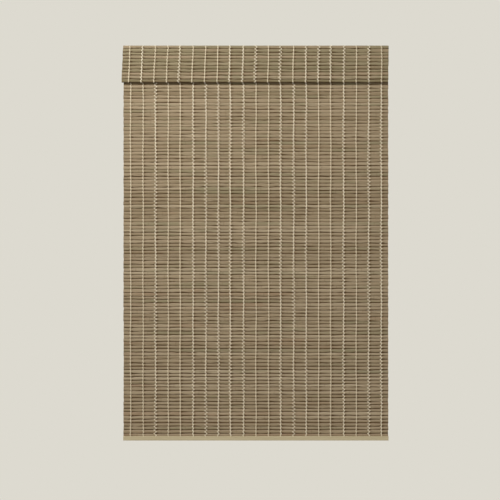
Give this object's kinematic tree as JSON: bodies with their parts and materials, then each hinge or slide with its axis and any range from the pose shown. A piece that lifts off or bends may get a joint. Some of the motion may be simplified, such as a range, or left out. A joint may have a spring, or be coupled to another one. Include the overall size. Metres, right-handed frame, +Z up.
{
  "type": "bamboo roman blind",
  "caption": "Woven bamboo roman blind with a short woven valance and a wooden bottom rail, lifted into pleats by a cordless spring motor in its headrail.",
  "frame": {"origin": "middle of the four bracket screw holes, on the brackets' top faces", "axes": "+Z up, +X to the right seen from the room, and the room on the -Y side"},
  "size_m": [1.092, 0.0622, 1.6253],
  "materials": {
    "bamboo": "raw split bamboo, matt",
    "yarn": "twisted yarn",
    "pale_wood": "smooth pale wood, satin",
    "rail_paint": "satin paint on steel",
    "zinc": "zinc plated",
    "spring_steel": "blued strip",
    "nylon": "moulded",
    "tape": "hook and loop tape"
  },
  "bodies": {
    "headrail": {"headrail": "rail_paint", "headrail_end_cap_left": "nylon", "headrail_end_cap_right": "nylon", "mounting_bracket_left": "zinc", "mounting_bracket_right": "zinc", "spool_cradle_1": "nylon", "spool_cradle_2": "nylon", "spool_cradle_3": "nylon", "spool_cradle_4": "nylon", "cord_eyelets": "zinc", "motor_housing": "nylon", "clamp_batten": "pale_wood", "clamp_screws": "zinc", "valance_tape": "tape", "valance_slats": "bamboo", "valance_warps": "yarn", "head_slats": "bamboo", "head_warps": "yarn"},
    "lift_shaft": {"lift_shaft": "zinc", "cord_spool_1": "nylon", "cord_spool_2": "nylon", "cord_spool_3": "nylon", "cord_spool_4": "nylon", "output_drum": "nylon", "motor_spring": "spring_steel"},
    "storage_drum": {"storage_drum": "nylon"},
    "fold_01": {"fold_01_slats": "bamboo", "fold_01_warps": "yarn"},
    "fold_02": {"fold_02_slats": "bamboo", "fold_02_warps": "yarn", "cord_rings_1": "nylon"},
    "fold_03": {"fold_03_slats": "bamboo", "fold_03_warps": "yarn"},
    "fold_04": {"fold_04_slats": "bamboo", "fold_04_warps": "yarn", "cord_rings_2": "nylon"},
    "fold_05": {"fold_05_slats": "bamboo", "fold_05_warps": "yarn"},
    "fold_06": {"fold_06_slats": "bamboo", "fold_06_warps": "yarn", "cord_rings_3": "nylon"},
    "fold_07": {"fold_07_slats": "bamboo", "fold_07_warps": "yarn"},
    "fold_08": {"fold_08_slats": "bamboo", "fold_08_warps": "yarn", "cord_rings_4": "nylon"},
    "fold_09": {"fold_09_slats": "bamboo", "fold_09_warps": "yarn"},
    "fold_10": {"fold_10_slats": "bamboo", "fold_10_warps": "yarn", "cord_rings_5": "nylon"},
    "fold_11": {"fold_11_slats": "bamboo", "fold_11_warps": "yarn"},
    "fold_12": {"fold_12_slats": "bamboo", "fold_12_warps": "yarn", "cord_rings_6": "nylon"},
    "hem": {"hem_slats": "bamboo", "hem_warps": "yarn", "bottom_rail": "pale_wood"}
  },
  "joints": [
    {"name": "fold_01_hinge", "type": "hinge", "parent": "headrail", "child": "fold_01", "pos_m": [0, -0.02825, -0.1615], "axis": [-1, 0, 0], "range_deg": [0, 82]},
    {"name": "fold_02_hinge", "type": "hinge", "parent": "fold_01", "child": "fold_02", "pos_m": [0, -0.02375, -0.2775], "axis": [-1, 0, 0], "range_deg": [-166, 0]},
    {"name": "fold_03_hinge", "type": "hinge", "parent": "fold_02", "child": "fold_03", "pos_m": [0, -0.02825, -0.3935], "axis": [-1, 0, 0], "range_deg": [0, 176]},
    {"name": "fold_04_hinge", "type": "hinge", "parent": "fold_03", "child": "fold_04", "pos_m": [0, -0.02375, -0.5095], "axis": [-1, 0, 0], "range_deg": [-176, 0]},
    {"name": "fold_05_hinge", "type": "hinge", "parent": "fold_04", "child": "fold_05", "pos_m": [0, -0.02825, -0.6255], "axis": [-1, 0, 0], "range_deg": [0, 176]},
    {"name": "fold_06_hinge", "type": "hinge", "parent": "fold_05", "child": "fold_06", "pos_m": [0, -0.02375, -0.7415], "axis": [-1, 0, 0], "range_deg": [-176, 0]},
    {"name": "fold_07_hinge", "type": "hinge", "parent": "fold_06", "child": "fold_07", "pos_m": [0, -0.02825, -0.8575], "axis": [-1, 0, 0], "range_deg": [0, 176]},
    {"name": "fold_08_hinge", "type": "hinge", "parent": "fold_07", "child": "fold_08", "pos_m": [0, -0.02375, -0.9735], "axis": [-1, 0, 0], "range_deg": [-176, 0]},
    {"name": "fold_09_hinge", "type": "hinge", "parent": "fold_08", "child": "fold_09", "pos_m": [0, -0.02825, -1.0895], "axis": [-1, 0, 0], "range_deg": [0, 176]},
    {"name": "fold_10_hinge", "type": "hinge", "parent": "fold_09", "child": "fold_10", "pos_m": [0, -0.02375, -1.2055], "axis": [-1, 0, 0], "range_deg": [-176, 0]},
    {"name": "fold_11_hinge", "type": "hinge", "parent": "fold_10", "child": "fold_11", "pos_m": [0, -0.02825, -1.3215], "axis": [-1, 0, 0], "range_deg": [0, 176]},
    {"name": "fold_12_hinge", "type": "hinge", "parent": "fold_11", "child": "fold_12", "pos_m": [0, -0.02375, -1.4375], "axis": [-1, 0, 0], "range_deg": [-176, 0]},
    {"name": "hem_hinge", "type": "hinge", "parent": "fold_12", "child": "hem", "pos_m": [0, -0.02825, -1.5535], "axis": [-1, 0, 0], "range_deg": [0, 89]},
    {"name": "lift_shaft_turn", "type": "hinge", "parent": "headrail", "child": "lift_shaft", "pos_m": [0, -0.005, -0.0183], "axis": [-1, 0, 0], "range_deg": [0, 5611.6]},
    {"name": "storage_drum_turn", "type": "hinge", "parent": "headrail", "child": "storage_drum", "pos_m": [0, 0.0142, -0.0183], "axis": [-1, 0, 0], "range_deg": [-6858.6, 0]}
  ],
  "couplings": [
    {"joint": "fold_02_hinge", "follows": "fold_01_hinge", "ratio": -2},
    {"joint": "fold_03_hinge", "follows": "fold_01_hinge", "ratio": 2},
    {"joint": "fold_04_hinge", "follows": "fold_01_hinge", "ratio": -2},
    {"joint": "fold_05_hinge", "follows": "fold_01_hinge", "ratio": 2},
    {"joint": "fold_06_hinge", "follows": "fold_01_hinge", "ratio": -2},
    {"joint": "fold_07_hinge", "follows": "fold_01_hinge", "ratio": 2},
    {"joint": "fold_08_hinge", "follows": "fold_01_hinge", "ratio": -2},
    {"joint": "fold_09_hinge", "follows": "fold_01_hinge", "ratio": 2},
    {"joint": "fold_10_hinge", "follows": "fold_01_hinge", "ratio": -2},
    {"joint": "fold_11_hinge", "follows": "fold_01_hinge", "ratio": 2},
    {"joint": "fold_12_hinge", "follows": "fold_01_hinge", "ratio": -2},
    {"joint": "hem_hinge", "follows": "fold_01_hinge", "ratio": 1},
    {"joint": "lift_shaft_turn", "follows": "fold_01_hinge", "ratio": 68.4},
    {"joint": "storage_drum_turn", "follows": "fold_01_hinge", "ratio": -83.6}
  ]
}
